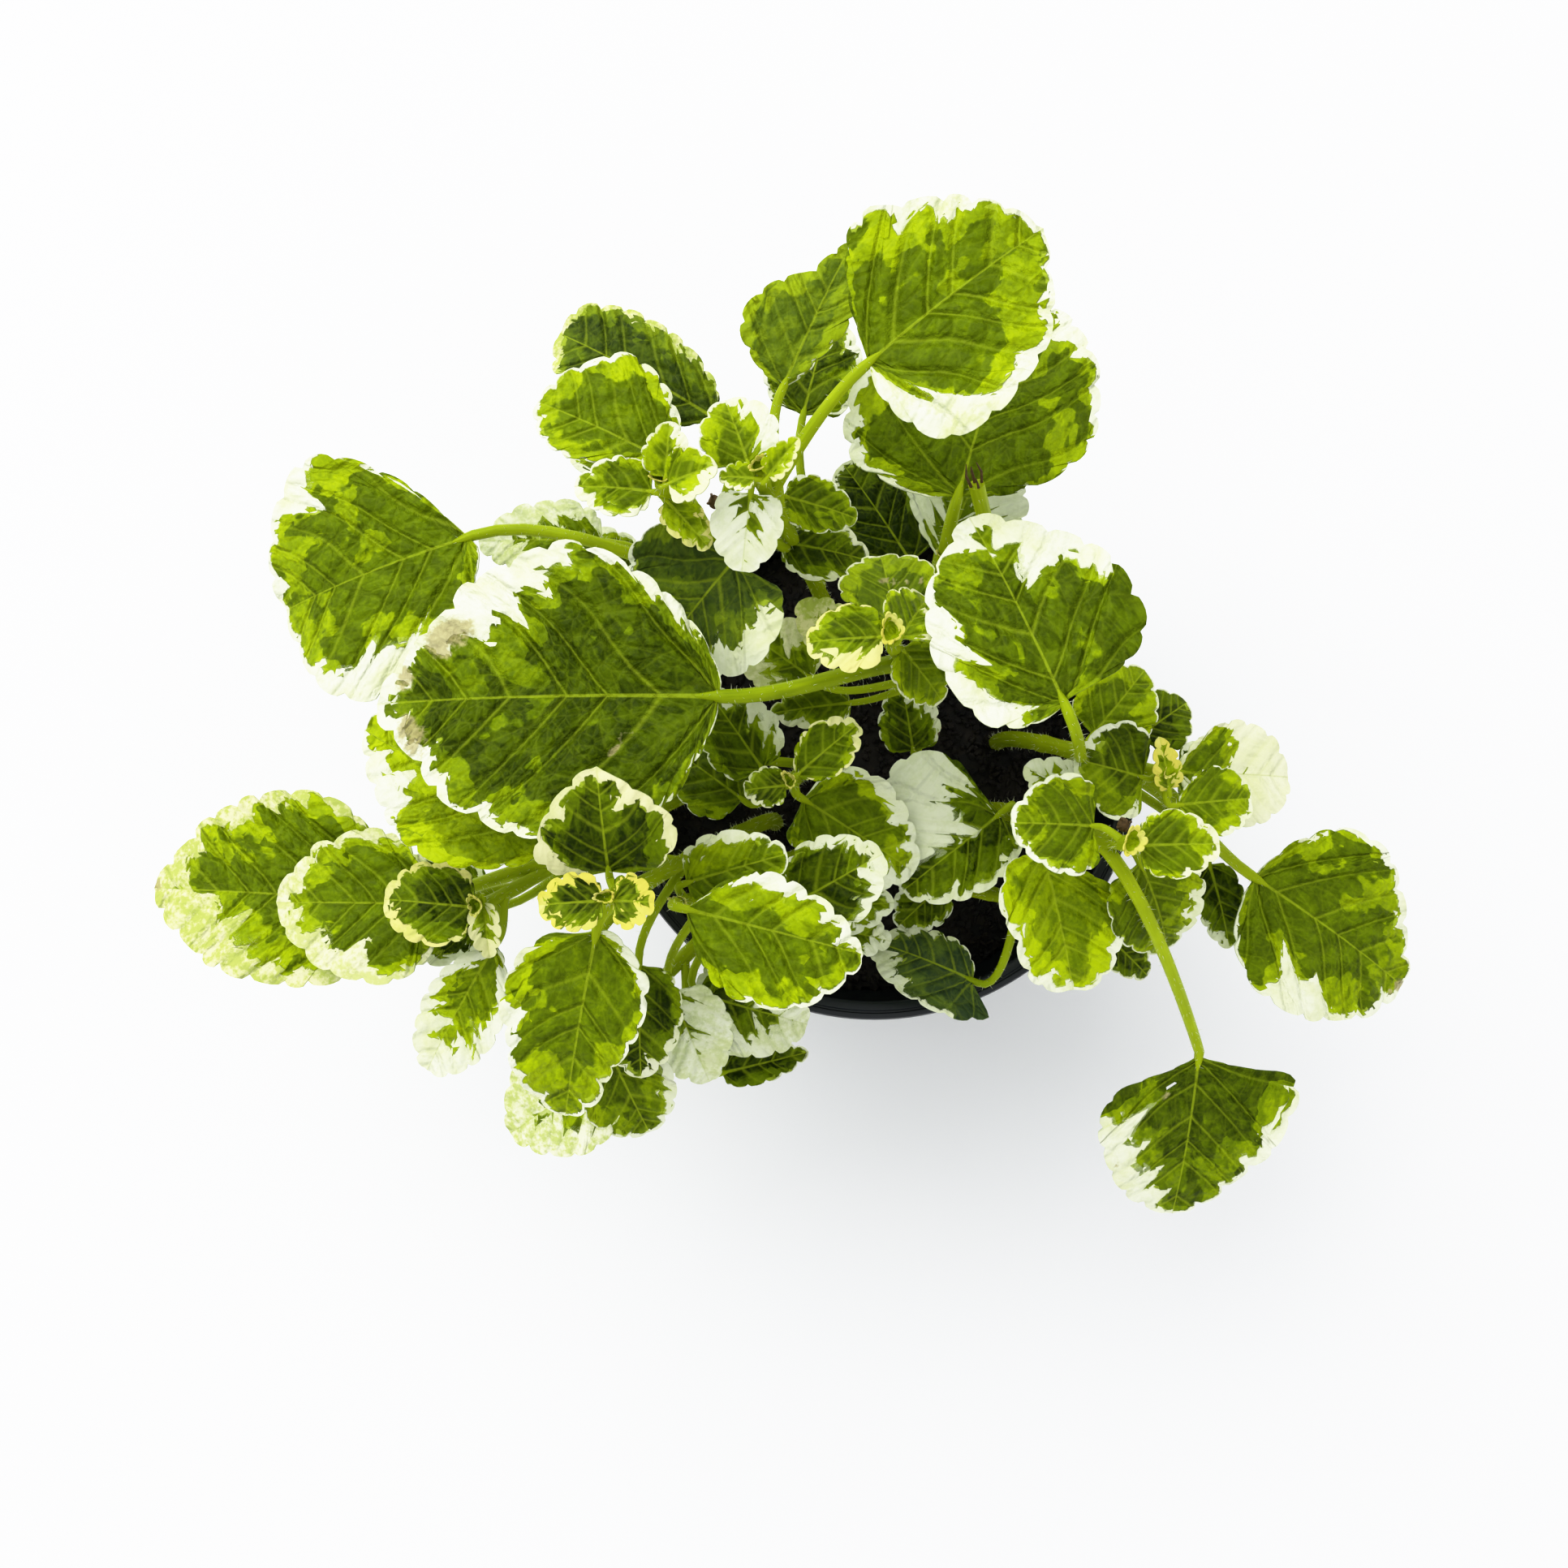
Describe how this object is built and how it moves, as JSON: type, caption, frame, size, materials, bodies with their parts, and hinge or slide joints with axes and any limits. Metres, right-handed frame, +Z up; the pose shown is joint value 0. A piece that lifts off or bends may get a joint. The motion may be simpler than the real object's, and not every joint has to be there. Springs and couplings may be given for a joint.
{
  "type": "potted swedish ivy",
  "caption": "Trailing house plant with scalloped cream-edged green leaves on soft upright stems, rooted in potting mix in a thin round black nursery pot.",
  "frame": {"origin": "centre of the pot's base, on the surface that it stands on", "axes": "+Z up out of the pot, +X to the plant's right and +Y to its far side, as it is seen from above"},
  "size_m": [0.2451, 0.1792, 0.1774],
  "materials": {
    "pot": "thin moulded black plastic with a faint sheen",
    "potting_mix": "moist loose peat and bark, rough",
    "stem_back_left": "soft quilted leaves, green with cream scalloped margins, on faintly hairy stalks",
    "stem_back": "soft quilted leaves, green with cream scalloped margins, on faintly hairy stalks",
    "stem_centre": "soft quilted leaves, green with cream scalloped margins, on faintly hairy stalks",
    "stem_inner": "soft quilted leaves, green with cream scalloped margins, on faintly hairy stalks",
    "stem_front_left": "soft quilted leaves, green with cream scalloped margins, on faintly hairy stalks",
    "stem_left": "soft quilted leaves, green with cream scalloped margins, on faintly hairy stalks",
    "stem_front": "soft quilted leaves, green with cream scalloped margins, on faintly hairy stalks",
    "stem_low_front": "soft quilted leaves, green with cream scalloped margins, on faintly hairy stalks",
    "stem_right": "soft quilted leaves, green with cream scalloped margins, on faintly hairy stalks",
    "stem_back_right": "soft quilted leaves, green with cream scalloped margins, on faintly hairy stalks",
    "stem_far_right": "soft quilted leaves, green with cream scalloped margins, on faintly hairy stalks",
    "stem_front_right": "soft quilted leaves, green with cream scalloped margins, on faintly hairy stalks"
  },
  "bodies": {
    "root": {"pot": "pot", "potting_mix": "potting_mix", "stem_back_left": "stem_back_left", "stem_back": "stem_back", "stem_centre": "stem_centre", "stem_inner": "stem_inner", "stem_front_left": "stem_front_left", "stem_left": "stem_left", "stem_front": "stem_front", "stem_low_front": "stem_low_front", "stem_right": "stem_right", "stem_back_right": "stem_back_right", "stem_far_right": "stem_far_right", "stem_front_right": "stem_front_right"}
  },
  "joints": []
}
